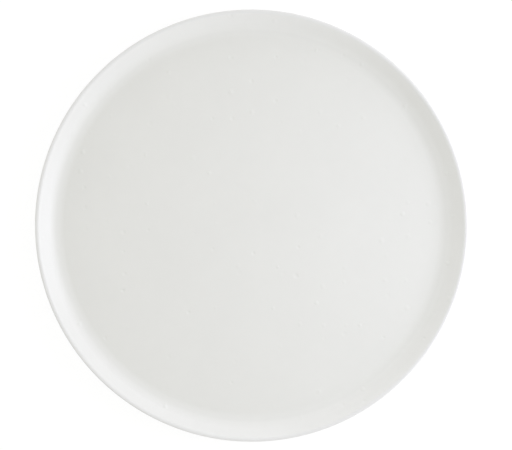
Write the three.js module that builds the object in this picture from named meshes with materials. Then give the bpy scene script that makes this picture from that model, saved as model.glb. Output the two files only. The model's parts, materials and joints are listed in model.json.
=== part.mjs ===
// Round porcelain pizza plate: one pressed body with a low upturned rim, and the glaze coats fired onto it.
// Millimetres, +Z up. The origin is the centre of the plane that the foot ring stands on.

import * as THREE from "three";

// Driving sizes of the finished, glazed plate
const plateDiameter = 320;
const wellDepth = 9.8; // top of the lip above the well
const floorThickness = 5.6; // well to base
const baseHeight = 2.6; // base above the table
const wallRun = 14; // from the lip's edge in to where the line of the wall meets the well
const wallTaper = THREE.MathUtils.degToRad(5); // how much steeper the wall is outside than inside
const lipThickness = 2.6; // the wall's thickness at the lip
const lipEdgeRadius = 1; // outside, over the edge of the lip
const lipInnerRadius = 3; // inside, from the wall over onto the lip
const coveRadius = 18; // inside, from the well up into the wall
const heelRadius = 20; // outside, from the wall round under to the base

// The foot ring, and the inner ring that keeps the wide floor from sagging in the kiln
const footSetback = 40; // from the lip's edge in to the middle of the foot ring
const footFaceWidth = 4.5;
const supportDiameter = 96; // at the middle of the inner ring
const supportFaceWidth = 3.5;
const supportClearance = 0.4; // the inner ring stops short of the table, so the plate can't rock on it
const ringDraft = THREE.MathUtils.degToRad(20); // slope of a ring's sides
const ringRootRadius = 1.6;
const ringEdgeRadius = 0.7;

// The glaze, which is wiped off both rings' faces so that they don't stick to the kiln shelf
const glazeThickness = 0.3;
const bondGap = 0.02; // between the body and its glaze
const bareHeight = 0.9; // how far up a ring's sides the body is left bare

// Facets
const facetsAround = 56;
const chordError = 0.06; // how far a flat facet may lie from a rounded corner

// Heights and radii that follow from the driving sizes
const coat = glazeThickness + bondGap;
const plateRadius = plateDiameter / 2;
const wellZ = baseHeight + floorThickness;
const plateHeight = wellZ + wellDepth;
const bodyWellZ = wellZ - coat;
const bodyBaseZ = baseHeight + coat;
const bodyLipZ = plateHeight - coat;

// The centre of the lip's round edge, which the wall's outer face touches. The inner face leaves the well at
// wallRun and passes the same centre on its other side, so that the lip has its thickness.
const edgeCentre = new THREE.Vector2(plateRadius - lipEdgeRadius, plateHeight - lipEdgeRadius);
const wallFoot = new THREE.Vector2(plateRadius - wallRun, wellZ);
const footToEdge = edgeCentre.clone().sub(wallFoot);
const centreToInnerFace = lipThickness - lipEdgeRadius;
const wallAngle = footToEdge.angle() + Math.asin(centreToInnerFace / footToEdge.length());

// The body's own two wall faces: their slopes, and how far outside that centre they pass
const innerFace = { slope: wallAngle, offset: coat - centreToInnerFace };
const outerFace = { slope: wallAngle + wallTaper, offset: lipEdgeRadius - coat };

// A profile is a run of corners in the half plane of radius and height, each with its own rounding. It is
// walked with the clay on the right-hand side: out over the well, round the lip and back in under the base.
function corner(radius, height, rounding = 0) {
  return { at: new THREE.Vector2(radius, height), rounding };
}

// Where a face of the wall reaches a height.
function wallCorner({ slope, offset }, height, rounding) {
  const outOfTheWall = new THREE.Vector2(Math.sin(slope), -Math.cos(slope));
  const onFace = edgeCentre.clone().addScaledVector(outOfTheWall, offset);
  return corner(onFace.x + (height - onFace.y) / Math.tan(slope), height, rounding);
}

// The four corners of a ring under the base, from its outer root to its inner root.
function ringCorners(middle, faceWidth, faceZ) {
  const toEdge = faceWidth / 2;
  const toRoot = toEdge + (bodyBaseZ - faceZ) * Math.tan(ringDraft);
  return {
    outerRoot: corner(middle + toRoot, bodyBaseZ, ringRootRadius),
    outerEdge: corner(middle + toEdge, faceZ, ringEdgeRadius),
    innerEdge: corner(middle - toEdge, faceZ, ringEdgeRadius),
    innerRoot: corner(middle - toRoot, bodyBaseZ, ringRootRadius),
  };
}

function heading(from, to) {
  return to.at.clone().sub(from.at).normalize();
}

function leftOf(direction) {
  return new THREE.Vector2(-direction.y, direction.x);
}

// The signed turn at a corner: negative where the clay is convex.
function turnAt(before, here, after) {
  const arriving = heading(before, here);
  const leaving = heading(here, after);
  return Math.atan2(arriving.cross(leaving), arriving.dot(leaving));
}

// How far a corner's rounding reaches along the two edges that meet there.
function reachOf(before, here, after) {
  return here.rounding * Math.tan(Math.abs(turnAt(before, here, after)) / 2);
}

// Where the roundings at the two ends of an edge don't both fit on it, both shrink by the same share.
function fitRoundings(run) {
  const turns = run.slice(1, -1);
  const reaches = [0, ...turns.map((here, i) => reachOf(run[i], here, run[i + 2])), 0];
  const shares = run.slice(1).map((end, i) => end.at.distanceTo(run[i].at) / (reaches[i] + reaches[i + 1]));
  turns.forEach((here, i) => {
    here.rounding *= Math.min(1, shares[i], shares[i + 1]);
  });
  return run;
}

// The points of the arc that rounds a corner, moved out of the clay by lift.
function roundedCorner(before, here, after, lift) {
  const turn = turnAt(before, here, after);
  const arriving = heading(before, here);
  const outwards = leftOf(arriving);
  const bulge = turn < 0 ? here.rounding : -here.rounding;
  const reach = reachOf(before, here, after);
  const centre = here.at.clone().addScaledVector(arriving, -reach).addScaledVector(outwards, -bulge);
  const widestStep = 2 * Math.acos(1 - chordError / here.rounding);
  const steps = Math.ceil(Math.abs(turn) / widestStep);
  const origin = new THREE.Vector2();
  return Array.from({ length: steps + 1 }, (_, k) => {
    const normal = outwards.clone().rotateAround(origin, (turn * k) / steps);
    return centre.clone().addScaledVector(normal, bulge + lift);
  });
}

// The surface that lies lift outside a run of corners.
function surface(run, lift = 0) {
  const last = run.length - 1;
  const firstNormal = leftOf(heading(run[0], run[1]));
  const lastNormal = leftOf(heading(run[last - 1], run[last]));
  const points = [run[0].at.clone().addScaledVector(firstNormal, lift)];
  for (let i = 1; i < last; i++) {
    points.push(...roundedCorner(run[i - 1], run[i], run[i + 1], lift));
  }
  points.push(run[last].at.clone().addScaledVector(lastNormal, lift));
  return points.filter((p, i) => i === 0 || p.distanceTo(points[i - 1]) > bondGap / 2);
}

// The coat of glaze over a run of the body's corners. Its profile starts and ends on the axis, or closes on
// itself where the run doesn't reach the axis.
function coatOver(run) {
  const outside = surface(run, coat);
  const inside = surface(run, bondGap).reverse();
  if (run[0].at.x === 0) return [...outside, ...inside];
  const endsOnAxis = run.at(-1).at.x === 0;
  return endsOnAxis ? [...inside, ...outside] : [...inside, ...outside, inside[0]];
}

// Where the glaze stops on a ring's side, between its root and its edge.
function glazeLine(root, edge) {
  const share = bareHeight / (root.at.y - edge.at.y);
  const at = edge.at.clone().lerp(root.at, share);
  return corner(at.x, at.y);
}

// The body's corners, from the middle of the well to the middle of the base
const foot = ringCorners(plateRadius - footSetback, footFaceWidth, 0);
const support = ringCorners(supportDiameter / 2, supportFaceWidth, supportClearance);
const rim = [
  wallCorner(innerFace, bodyWellZ, coveRadius + coat),
  wallCorner(innerFace, bodyLipZ, lipInnerRadius - coat),
  wallCorner(outerFace, bodyLipZ, lipEdgeRadius - coat),
  wallCorner(outerFace, bodyBaseZ, heelRadius - coat),
];
const wellCentre = corner(0, bodyWellZ);
const baseCentre = corner(0, bodyBaseZ);
const rings = [...Object.values(foot), ...Object.values(support)];
const body = fitRoundings([wellCentre, ...rim, ...rings, baseCentre]);

// The three coats, parted from each other by the bare faces of the two rings
const faceCoat = coatOver([wellCentre, ...rim, foot.outerRoot, glazeLine(foot.outerRoot, foot.outerEdge)]);
const baseRingCoat = coatOver([
  glazeLine(foot.innerRoot, foot.innerEdge),
  foot.innerRoot,
  support.outerRoot,
  glazeLine(support.outerRoot, support.outerEdge),
]);
const baseCentreCoat = coatOver([
  glazeLine(support.innerRoot, support.innerEdge),
  support.innerRoot,
  baseCentre,
]);

const bisque = new THREE.MeshStandardMaterial({ color: "#e3dccf", roughness: 0.85, metalness: 0 });
const satinGlaze = new THREE.MeshStandardMaterial({ color: "#e6e6e3", roughness: 0.4, metalness: 0 });

// Turns a profile about the plate's axis. The lathe takes it from the bottom up and turns it about Y, so the
// result is stood up on Z.
function turned(name, profile, material) {
  const geometry = new THREE.LatheGeometry(profile.toReversed(), facetsAround);
  geometry.rotateX(Math.PI / 2);
  const mesh = new THREE.Mesh(geometry, material);
  mesh.name = name;
  return mesh;
}

const plate = new THREE.Group();
plate.name = "pizza_plate";
plate.add(
  turned("porcelain_body", surface(body), bisque),
  turned("face_glaze", faceCoat, satinGlaze),
  turned("base_ring_glaze", baseRingCoat, satinGlaze),
  turned("base_centre_glaze", baseCentreCoat, satinGlaze),
);

export default plate;
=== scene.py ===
# White porcelain pizza plate under a satin glaze, looked down on from straight above.
import json
import math

import bmesh
import bpy
import numpy as np
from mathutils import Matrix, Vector


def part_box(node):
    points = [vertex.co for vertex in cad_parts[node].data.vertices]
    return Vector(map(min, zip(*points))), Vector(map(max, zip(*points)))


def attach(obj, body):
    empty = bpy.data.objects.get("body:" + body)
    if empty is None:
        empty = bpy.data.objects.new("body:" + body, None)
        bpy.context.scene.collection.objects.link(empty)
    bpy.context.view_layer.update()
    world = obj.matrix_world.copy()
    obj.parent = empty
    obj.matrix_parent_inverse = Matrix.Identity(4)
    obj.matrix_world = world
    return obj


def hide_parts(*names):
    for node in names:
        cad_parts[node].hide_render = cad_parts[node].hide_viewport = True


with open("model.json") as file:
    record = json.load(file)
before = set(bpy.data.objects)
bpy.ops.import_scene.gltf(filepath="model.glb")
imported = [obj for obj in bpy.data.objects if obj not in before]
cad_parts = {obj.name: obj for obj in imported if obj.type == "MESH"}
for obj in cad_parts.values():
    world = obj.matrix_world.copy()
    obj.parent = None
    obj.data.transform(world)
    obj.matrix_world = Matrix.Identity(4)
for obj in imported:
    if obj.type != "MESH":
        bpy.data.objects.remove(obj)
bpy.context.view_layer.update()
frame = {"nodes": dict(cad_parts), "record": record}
mounts = {mount["name"]: Vector(mount["pos_m"]) for mount in frame["record"]["mounts"]}
print("frame:", ", ".join(sorted(frame["nodes"])))


# the plate's form in metres; its width, height and levels come from the frame
form = {
    "wallRun": 0.0140,  # lip's edge in to where the line of the wall meets the well
    "wallTaper": math.radians(5),  # how much steeper the wall is outside than inside
    "lipThickness": 0.0026,
    "lipEdgeRadius": 0.0010,  # outside, over the edge of the lip
    "lipInnerRadius": 0.0030,  # inside, from the wall over onto the lip
    "coveRadius": 0.0180,  # inside, from the well up into the wall
    "heelRadius": 0.0200,  # outside, from the wall round under to the base
    "footFaceWidth": 0.0045,
    "supportRadius": 0.0480,  # at the middle of the inner ring
    "supportFaceWidth": 0.0035,
    "supportClearance": 0.0004,  # the inner ring stops short of the table
    "ringDraft": math.radians(20),  # slope of a ring's sides
    "ringRootRadius": 0.0016,
    "ringEdgeRadius": 0.0007,
    "glazeThickness": 0.0003,
    "bondGap": 0.00002,  # between the body and its glaze
    "bareHeight": 0.0009,  # of each ring's sides, below the glaze line
}
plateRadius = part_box("face_glaze")[1].x
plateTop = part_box("face_glaze")[1].z
wellZ = mounts["well_face"].z
footRadius = mounts["foot_ring_face"].xy.length
coat = form["glazeThickness"] + form["bondGap"]
bodyWellZ = wellZ - coat
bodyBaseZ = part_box("base_centre_glaze")[1].z + form["bondGap"]


# how finely the pieces are turned
lathe = {
    "stepsAround": 320,
    "sag": 0.000003,  # how far a facet may lie from an arc
    "ringSpacing": 0.006,  # between the rings of points on a level stretch
    "mergeDistance": 1e-7,
}


class ProfilePen:
    # draws a profile in the half plane of radius and height, one operator a stroke
    def __init__(self, start):
        self.mesh = bmesh.new()
        self.startAt(start)

    def startAt(self, point):
        self.tip = self.mesh.verts.new((point.x, 0, point.y))

    def lineTo(self, point):
        stroke = bmesh.ops.extrude_vert_indiv(self.mesh, verts=[self.tip])
        self.tip = stroke["verts"][0]
        self.tip.co = (point.x, 0, point.y)

    def arcAbout(self, centre, turn):
        radius = (self.tip.co.xz - centre).length
        widestStep = 2 * math.acos(1 - lathe["sag"] / radius)
        stroke = bmesh.ops.spin(
            self.mesh,
            geom=[self.tip],
            cent=(centre.x, 0, centre.y),
            axis=(0, -1, 0),
            angle=turn,
            steps=math.ceil(abs(turn) / widestStep),
        )
        self.tip = stroke["geom_last"][0]


def corner(radius, height, rounding=0.0):
    return {"at": Vector((radius, height)), "rounding": rounding}


def heading(start, end):
    return (end["at"] - start["at"]).normalized()


def leftOf(direction):
    return Vector((-direction.y, direction.x))


def startOf(run, lift):
    return run[0]["at"] + lift * leftOf(heading(run[0], run[1]))


def drawRun(pen, run, lift):
    # follows a run of corners at a distance of lift to its left, round each corner on the way
    for before, here, after in zip(run, run[1:], run[2:]):
        arriving, leaving = heading(before, here), heading(here, after)
        turn = math.atan2(arriving.cross(leaving), arriving.dot(leaving))
        rounding = here["rounding"]
        tangent = here["at"] - arriving * rounding * math.tan(abs(turn) / 2)
        centre = tangent + leftOf(arriving) * math.copysign(rounding, turn)
        pen.lineTo(tangent + leftOf(arriving) * lift)
        pen.arcAbout(centre, turn)
    pen.lineTo(run[-1]["at"] + lift * leftOf(heading(run[-2], run[-1])))


def rollOver(pen, end):
    # the rolled bead that ends a coat of glaze
    middle = (pen.tip.co.xz + end) / 2
    pen.arcAbout(middle, -math.pi)


# the wall's outer face touches the lip's round edge, and its inner face leaves the well at wallRun
edgeRadius = form["lipEdgeRadius"]
edgeCentre = Vector((plateRadius - edgeRadius, plateTop - edgeRadius))
wallFoot = Vector((plateRadius - form["wallRun"], wellZ))
footToEdge = edgeCentre - wallFoot
centreToInnerFace = form["lipThickness"] - edgeRadius
wallAngle = math.atan2(footToEdge.y, footToEdge.x) + math.asin(centreToInnerFace / footToEdge.length)
innerFace = {"slope": wallAngle, "offset": coat - centreToInnerFace}
outerFace = {"slope": wallAngle + form["wallTaper"], "offset": edgeRadius - coat}


def wallCorner(face, height, rounding):
    # where a face of the wall reaches a height
    outOfTheWall = Vector((math.sin(face["slope"]), -math.cos(face["slope"])))
    onFace = edgeCentre + outOfTheWall * face["offset"]
    return corner(onFace.x + (height - onFace.y) / math.tan(face["slope"]), height, rounding)


def ringCorners(middle, faceWidth, faceZ):
    # a ring under the base, from its outer root to its inner root
    toEdge = faceWidth / 2
    toRoot = toEdge + (bodyBaseZ - faceZ) * math.tan(form["ringDraft"])
    return {
        "outerRoot": corner(middle + toRoot, bodyBaseZ, form["ringRootRadius"]),
        "outerEdge": corner(middle + toEdge, faceZ, form["ringEdgeRadius"]),
        "innerEdge": corner(middle - toEdge, faceZ, form["ringEdgeRadius"]),
        "innerRoot": corner(middle - toRoot, bodyBaseZ, form["ringRootRadius"]),
    }


def glazeLine(ring, side):
    # where the glaze stops on a ring's outer or inner side
    root = ring[side + "Root"]["at"]
    edge = ring[side + "Edge"]["at"]
    at = edge.lerp(root, form["bareHeight"] / (root.y - edge.y))
    return corner(at.x, at.y)


foot = ringCorners(footRadius, form["footFaceWidth"], 0.0)
support = ringCorners(form["supportRadius"], form["supportFaceWidth"], form["supportClearance"])
rim = [
    wallCorner(innerFace, bodyWellZ, form["coveRadius"] + coat),
    wallCorner(innerFace, plateTop - coat, form["lipInnerRadius"] - coat),
    wallCorner(outerFace, plateTop - coat, edgeRadius - coat),
    wallCorner(outerFace, bodyBaseZ, form["heelRadius"] - coat),
]
wellCentre = corner(0, bodyWellZ)
baseCentre = corner(0, bodyBaseZ)


def bodyProfile():
    run = [wellCentre, *rim, *foot.values(), *support.values(), baseCentre]
    pen = ProfilePen(startOf(run, 0))
    drawRun(pen, run, 0)
    return pen


def coatProfile(run):
    # out along the glaze's open face, over its rolled edge, and back along the body
    back = run[::-1]
    pen = ProfilePen(startOf(run, coat))
    drawRun(pen, run, coat)
    innerStart = startOf(back, -form["bondGap"])
    if run[-1]["at"].x > 0:
        rollOver(pen, innerStart)
    else:
        pen.startAt(innerStart)  # a coat that reaches the axis has no edge there
    drawRun(pen, back, -form["bondGap"])
    if run[0]["at"].x > 0:
        rollOver(pen, startOf(run, coat))
    return pen


# the slight warp that a wide plate takes on in the kiln, none at the foot and most at the lip
kilnWarp = {
    "oval": 0.00032,  # how far the lip is drawn in across the plate's narrow way
    "ovalPhase": -2.5,
    "droop": 0.00010,  # the most that the lip sags
    "droopPhases": {2: 1.1, 3: 4.0, 5: 2.3},  # by the number of waves around the lip
}


def swell(angle, waves, phase):
    # from 1 down to 0 and back, so many times around the plate
    return (1 + np.cos(waves * angle + phase)) / 2


def warp(data):
    points = np.empty(3 * len(data.vertices))
    data.vertices.foreach_get("co", points)
    points = points.reshape(-1, 3)
    share = points[:, 2] / plateTop
    angle = np.arctan2(points[:, 1], points[:, 0])
    narrowing = kilnWarp["oval"] / plateRadius * swell(angle, waves=2, phase=kilnWarp["ovalPhase"])
    sags = [swell(angle, waves, phase) for waves, phase in kilnWarp["droopPhases"].items()]
    points[:, :2] *= (1 - narrowing * share)[:, None]
    points[:, 2] -= kilnWarp["droop"] * share * np.mean(sags, axis=0)
    data.vertices.foreach_set("co", points.ravel())


def meshFrom(name, mesh):
    data = bpy.data.meshes.new(name)
    mesh.to_mesh(data)
    mesh.free()
    return data


def addObject(name, data):
    added = bpy.data.objects.new(name, data)
    bpy.context.scene.collection.objects.link(added)
    return added


def longStrokes(mesh):
    return [edge for edge in mesh.edges if edge.calc_length() > lathe["ringSpacing"]]


def turnPiece(name, pen, node, material):
    mesh = pen.mesh
    while strokes := longStrokes(mesh):
        bmesh.ops.subdivide_edges(mesh, edges=strokes, cuts=1)
    bmesh.ops.spin(
        mesh,
        geom=mesh.verts[:] + mesh.edges[:],
        cent=(0, 0, 0),
        axis=(0, 0, 1),
        angle=2 * math.pi,
        steps=lathe["stepsAround"],
        use_merge=True,
    )
    bmesh.ops.remove_doubles(mesh, verts=mesh.verts, dist=lathe["mergeDistance"])
    bmesh.ops.recalc_face_normals(mesh, faces=mesh.faces)
    for face in mesh.faces:
        face.smooth = True
    data = meshFrom(name, mesh)
    warp(data)
    data.materials.append(material)
    piece = addObject(name, data)
    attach(piece, "root")
    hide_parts(node)
    print("turned", name, "with", len(data.polygons), "faces")


class Shade:
    # a value that varies over a surface: arithmetic on it adds Math nodes
    def __init__(self, socket):
        self.socket = socket
        self.tree = socket.id_data

    def maths(self, operation, first, second):
        node = self.tree.nodes.new("ShaderNodeMath")
        node.operation = operation
        plug(node.inputs[0], first)
        plug(node.inputs[1], second)
        return Shade(node.outputs[0])

    def other(self, output):
        # another output of the same node
        return Shade(self.socket.node.outputs[output])

    def __add__(self, value):
        return self.maths("ADD", self, value)

    def __radd__(self, value):
        return self.maths("ADD", value, self)

    def __sub__(self, value):
        return self.maths("SUBTRACT", self, value)

    def __rsub__(self, value):
        return self.maths("SUBTRACT", value, self)

    def __mul__(self, value):
        return self.maths("MULTIPLY", self, value)

    def __rmul__(self, value):
        return self.maths("MULTIPLY", value, self)

    def __lt__(self, value):
        return self.maths("LESS_THAN", self, value)


def plug(socket, value):
    if isinstance(value, Shade):
        socket.id_data.links.new(value.socket, socket)
    elif socket.type == "RGBA":
        socket.default_value = (*value, 1.0)
    else:
        socket.default_value = value


class NodeBench:
    # any node of a tree: its type, its settings, then the values and links of its sockets
    def __init__(self, tree):
        self.tree = tree
        tree.nodes.clear()

    def node(self, kind, settings=None, inputs=None):
        made = self.tree.nodes.new("ShaderNode" + kind)
        for key, value in (settings or {}).items():
            setattr(made, key, value)
        for key, value in (inputs or {}).items():
            plug(made.inputs[key], value)
        return Shade(made.outputs[0]) if made.outputs else made

    def coordinates(self):
        return self.node("TexCoord").other("Object")

    def heightOf(self, where):
        return self.node("SeparateXYZ", None, {0: where}).other("Z")

    def noise(self, where, size, detail):
        # from 0 to 1, and a half on average
        settings = {"noise_dimensions": "3D"}
        inputs = {"Vector": where, "Scale": 1 / size, "Detail": detail}
        return self.node("TexNoise", settings, inputs)

    def drift(self, where, size, detail):
        # the same noise from -1 to 1
        return (self.noise(where, size, detail) - 0.5) * 2

    def cells(self, where, spacing):
        # a flat pattern of cells: how far it is to the cell's middle, and three random draws for each cell
        inputs = {"Vector": where, "Scale": 1 / spacing}
        cell = self.node("TexVoronoi", {"voronoi_dimensions": "2D"}, inputs)
        draws = self.node("SeparateColor", None, {0: cell.other("Color")})
        return cell * spacing, draws

    def ramp(self, value, start, end):
        # smoothly from 0 at start to 1 at end, whichever is larger
        settings = {"interpolation_type": "SMOOTHSTEP"}
        return self.node("MapRange", settings, {"Value": value, "From Min": start, "From Max": end})

    def blend(self, share, first, second):
        # the Mix node's colour sockets, which share their names with its others
        return self.node("Mix", {"data_type": "RGBA"}, {0: share, 6: first, 7: second}).other(2)

    def tinted(self, colour, factor):
        # a colour, lighter or darker by a factor that varies
        settings = {"operation": "SCALE"}
        return self.node("VectorMath", settings, {0: colour, "Scale": factor})

    def bumped(self, relief):
        # the surface's normal under a relief in metres
        return self.node("Bump", None, {"Height": relief, "Distance": 1.0})


def newMaterial(name):
    material = bpy.data.materials.new(name)
    material.use_nodes = True
    return material, NodeBench(material.node_tree)


# white glaze with a satin skin, a few pinholes and pimples, and a faint cloudiness
glazeLook = {
    "white": (0.790, 0.790, 0.770),
    "thin": (0.785, 0.784, 0.779),  # over the edge of the lip
    "poolAndShadeTop": 0.0016,  # how far up the cove the pooled glaze and its painted shade reach
    # how much darker the pooled glaze and painted shade make the foot of the cove
    "poolAndShadeTint": 0.984,
    "cloudSize": 0.045,
    "cloudDepth": 0.016,
    "curdSize": 0.009,
    "curdDepth": 0.010,
    "refraction": 1.5,
    "roughness": 0.40,
    "roughnessDrift": 0.06,
    "peelSize": 0.0016,
    "peelHeight": 0.000010,
    "grainSize": 0.00045,
    "grainHeight": 0.0000008,
    "markSpacing": 0.016,
    "markShare": 0.56,  # the share of cells with a mark
    "markPatchSize": 0.12,  # marks come in patches
    "markPatchDepth": 0.5,
    "markRadius": (0.0017, 0.0028),  # smallest and largest
    "markHeight": 0.00018,  # of the tallest
    "pimpleShare": 0.65,  # the other marks are pinholes
    "markPaintedBounce": 0.022,  # painted light on a mark's sloping sides, standing in for the light they throw on each other
}


def satinGlaze():
    material, bench = newMaterial("satin_glaze")
    look = glazeLook
    where = bench.coordinates()
    height = bench.heightOf(where)

    # clouds of slightly thicker glaze, a finer curdling, and pooled glaze with painted shade at the foot of
    # the cove
    cloud = bench.drift(where, look["cloudSize"], detail=2.0)
    curd = bench.drift(where, look["curdSize"], detail=3.0)
    tone = 1 + cloud * look["cloudDepth"] + curd * look["curdDepth"]
    # painted shade, together with pooled glaze, darkens the foot of the cove
    poolAndShadeMiddle = wellZ + look["poolAndShadeTop"] / 2
    poolAndShade = bench.ramp(height, wellZ, poolAndShadeMiddle) * bench.ramp(height, wellZ + look["poolAndShadeTop"], poolAndShadeMiddle)
    tone = tone * (1 - poolAndShade * (1 - look["poolAndShadeTint"]))
    thin = bench.ramp(height, plateTop - edgeRadius, plateTop)
    colour = bench.blend(thin, look["white"], look["thin"])

    # sparse marks, faint or plain: each cell of a flat pattern has a pinhole, a pimple or nothing
    distance, draws = bench.cells(where, look["markSpacing"])
    smallest, largest = look["markRadius"]
    reach = draws.other("Blue") * (largest - smallest) + smallest
    patch = bench.drift(where, look["markPatchSize"], detail=1.0)
    strength = bench.ramp(draws, patch * look["markPatchDepth"] + look["markShare"], 0.0)
    dome = bench.ramp(distance, reach, 0.0) * strength
    way = (draws.other("Green") < look["pimpleShare"]) * 2 - 1  # 1 for a pimple, -1 for a pinhole
    # painted light: the marks' sloping sides are made lighter in colour
    tone = tone * (1 + dome * (strength - dome) * look["markPaintedBounce"])

    peel = bench.noise(where, look["peelSize"], detail=1.0) * look["peelHeight"]
    grain = bench.noise(where, look["grainSize"], detail=0.0) * look["grainHeight"]
    relief = peel + grain + dome * way * look["markHeight"]
    surface = bench.node(
        "BsdfPrincipled",
        None,
        {
            "Base Color": bench.tinted(colour, tone),
            "Roughness": look["roughness"] + cloud * look["roughnessDrift"],
            "Normal": bench.bumped(relief),
            "IOR": look["refraction"],
        },
    )
    bench.node("OutputMaterial", None, {"Surface": surface})
    return material


# bare fired clay of the rings' faces, wiped clean of glaze and ground smooth
bisqueLook = {
    "clay": (0.768, 0.716, 0.624),
    "worn": (0.610, 0.585, 0.540),  # where the foot has slid on tables
    "wornHeight": 0.0005,
    "wornDepth": 0.55,
    "wornDrift": 0.5,
    "grainSize": 0.0004,
    "grainDepth": 0.05,
    "grainHeight": 0.000006,
    "stainSize": 0.025,
    "stainDepth": 0.05,
    "speckSpacing": 0.004,
    "speckRadius": 0.00013,
    "speckShare": 0.35,  # the share of cells with a speck
    "speckTint": 0.70,
    "roughness": 0.82,
    "wornRoughness": 0.60,
    "grindSize": 0.00012,
    "grindHeight": 0.000004,
}


def bareBisque():
    material, bench = newMaterial("bare_bisque")
    look = bisqueLook
    where = bench.coordinates()
    height = bench.heightOf(where)
    flat = bench.node("VectorMath", {"operation": "MULTIPLY"}, {0: where, 1: (1.0, 1.0, 0.0)})
    radius = bench.node("VectorMath", {"operation": "LENGTH"}, {0: flat}).other("Value")

    grain = bench.drift(where, look["grainSize"], detail=2.0)
    stain = bench.drift(where, look["stainSize"], detail=3.0)
    tone = 1 + grain * look["grainDepth"] + stain * look["stainDepth"]

    # dark specks of the clay
    distance, draws = bench.cells(where, look["speckSpacing"])
    speck = bench.ramp(distance, look["speckRadius"], 0.0) * (draws < look["speckShare"])
    tone = tone * (1 - speck * (1 - look["speckTint"]))

    # worn on the faces, which a wheel has ground in fine circles
    wear = bench.ramp(height, look["wornHeight"], 0.0) * (stain * look["wornDrift"] + look["wornDepth"])
    colour = bench.blend(wear, look["clay"], look["worn"])
    grind = bench.node("TexNoise", {"noise_dimensions": "1D"}, {"W": radius, "Scale": 1 / look["grindSize"]})
    relief = grind * look["grindHeight"] + grain * look["grainHeight"]
    surface = bench.node(
        "BsdfPrincipled",
        None,
        {
            "Base Color": bench.tinted(colour, tone),
            "Roughness": look["roughness"] - wear * (look["roughness"] - look["wornRoughness"]),
            "Normal": bench.bumped(relief),
        },
    )
    bench.node("OutputMaterial", None, {"Surface": surface})
    return material


glaze = satinGlaze()
bisque = bareBisque()
print("materials:", glaze.name, bisque.name)

faceRun = [wellCentre, *rim, foot["outerRoot"], glazeLine(foot, "outer")]
baseRingRun = [glazeLine(foot, "inner"), foot["innerRoot"], support["outerRoot"], glazeLine(support, "outer")]
baseCentreRun = [glazeLine(support, "inner"), support["innerRoot"], baseCentre]
turnPiece("fired_body", bodyProfile(), "porcelain_body", bisque)
turnPiece("face_coat", coatProfile(faceRun), "face_glaze", glaze)
turnPiece("base_ring_coat", coatProfile(baseRingRun), "base_ring_glaze", glaze)
turnPiece("base_centre_coat", coatProfile(baseCentreRun), "base_centre_glaze", glaze)


# the floor, nearly white to the camera and pale to everything else
floorLook = {
    "halfWidth": 3.0,
    "drop": 0.0001,  # below the foot ring's face
    "pale": (0.82, 0.82, 0.815),
    "white": 1.10,
    "whiteShare": 0.80,  # the rest keeps the plate's shadow
}


def seenDirectly(bench):
    # 1 to the camera, in mirror-like surfaces and through clear ones, and 0 to what the room lights
    ray = bench.node("LightPath")
    return ray.other("Is Camera Ray") + ray.other("Is Glossy Ray") + ray.other("Is Transmission Ray")


def layFloor():
    mesh = bmesh.new()
    bmesh.ops.create_grid(mesh, x_segments=1, y_segments=1, size=floorLook["halfWidth"])
    bmesh.ops.translate(mesh, verts=mesh.verts, vec=(0, 0, -floorLook["drop"]))
    data = meshFrom("floor", mesh)
    material, bench = newMaterial("white_floor")
    pale = bench.node("BsdfDiffuse", None, {"Color": floorLook["pale"]})
    white = bench.node("Emission", None, {"Strength": floorLook["white"]})
    share = seenDirectly(bench) * floorLook["whiteShare"]
    surface = bench.node("MixShader", None, {0: share, 1: pale, 2: white})
    bench.node("OutputMaterial", None, {"Surface": surface})
    data.materials.append(material)
    floor = addObject("floor", data)


layFloor()

# soft light from all round, brighter low down, with one dim corner
roomLook = {
    "above": (0.720, 0.719, 0.674),
    "low": (1.93, 1.92, 2.04),
    "dim": (0.41, 0.41, 0.40),
    "lowTop": 0.6,  # how high the low light reaches, 1 being straight up
    "brightAngle": math.radians(60),  # across from the dim corner
    "dimFrom": -1.1,  # -1 is the middle of the dim corner, and 1 is straight across from it
    "dimTo": -0.5,
}


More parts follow.
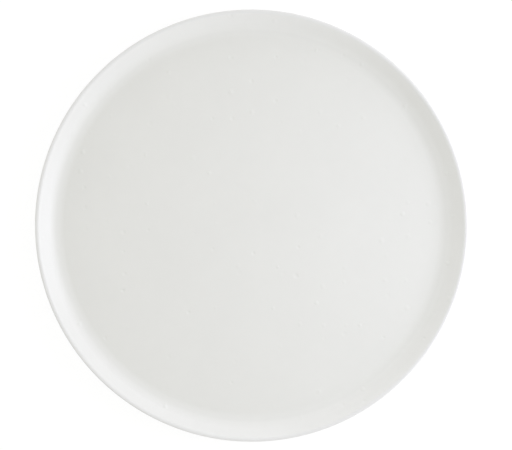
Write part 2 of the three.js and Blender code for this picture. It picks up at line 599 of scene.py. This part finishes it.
def lightRoom():
    world = bpy.data.worlds.new("soft_room")
    bpy.context.scene.world = world
    world.use_nodes = True
    bench = NodeBench(world.node_tree)
    towards = bench.node("TexCoord").other("Generated")
    height = bench.heightOf(towards)
    brightSide = Vector((math.cos(roomLook["brightAngle"]), math.sin(roomLook["brightAngle"]), 0))
    facing = bench.node("VectorMath", {"operation": "DOT_PRODUCT"}, {0: towards, 1: brightSide})
    lit = bench.ramp(facing.other("Value"), roomLook["dimFrom"], roomLook["dimTo"])
    low = bench.blend(lit, roomLook["dim"], roomLook["low"])
    glow = bench.blend(bench.ramp(height, roomLook["lowTop"], 0.0), roomLook["above"], low)
    room = bench.node("Background", None, {"Color": glow})
    white = bench.node("Background", None, {"Color": (1.0, 1.0, 1.0)})
    surface = bench.node("MixShader", None, {0: seenDirectly(bench), 1: room, 2: white})
    bench.node("OutputWorld", None, {"Surface": surface})


lightRoom()

# a cool soft box on the right
softBoxLook = {
    "place": Vector((0.594, 0.0, 0.371)),
    "size": 0.40,
    "power": 1.95,
    "colour": (0.83, 0.85, 1.0),
}


def hangSoftBox():
    data = bpy.data.lights.new("soft_box", "AREA")
    data.size = softBoxLook["size"]
    data.energy = softBoxLook["power"]
    data.color = softBoxLook["colour"]
    lamp = addObject("soft_box", data)
    lamp.location = softBoxLook["place"]
    lamp.rotation_euler = (-softBoxLook["place"]).to_track_quat("-Z", "Y").to_euler()


hangSoftBox()

# straight above, placed so that the lip's edge falls on its circle in the photograph
cameraView = {
    "frameWidthPx": 512,
    "frameHeightPx": 450,
    "plateCentrePx": Vector((251.43, 225.60)),
    "plateRadiusPx": 216.5,
    "heightAboveLip": 1.40,
}


def setCamera():
    data = bpy.data.cameras.new("camera")
    camera = addObject("camera", data)
    metresPerPx = plateRadius / cameraView["plateRadiusPx"]
    frameSize = Vector((cameraView["frameWidthPx"], cameraView["frameHeightPx"]))
    offset = (frameSize / 2 - cameraView["plateCentrePx"]) * metresPerPx
    camera.location = (offset.x, -offset.y, edgeCentre.y + cameraView["heightAboveLip"])
    frameWidth = cameraView["frameWidthPx"] * metresPerPx
    data.lens = data.sensor_width * cameraView["heightAboveLip"] / frameWidth
    bpy.context.scene.camera = camera


setCamera()
bpy.context.scene.view_settings.view_transform = "Standard"
print("lights and camera set")
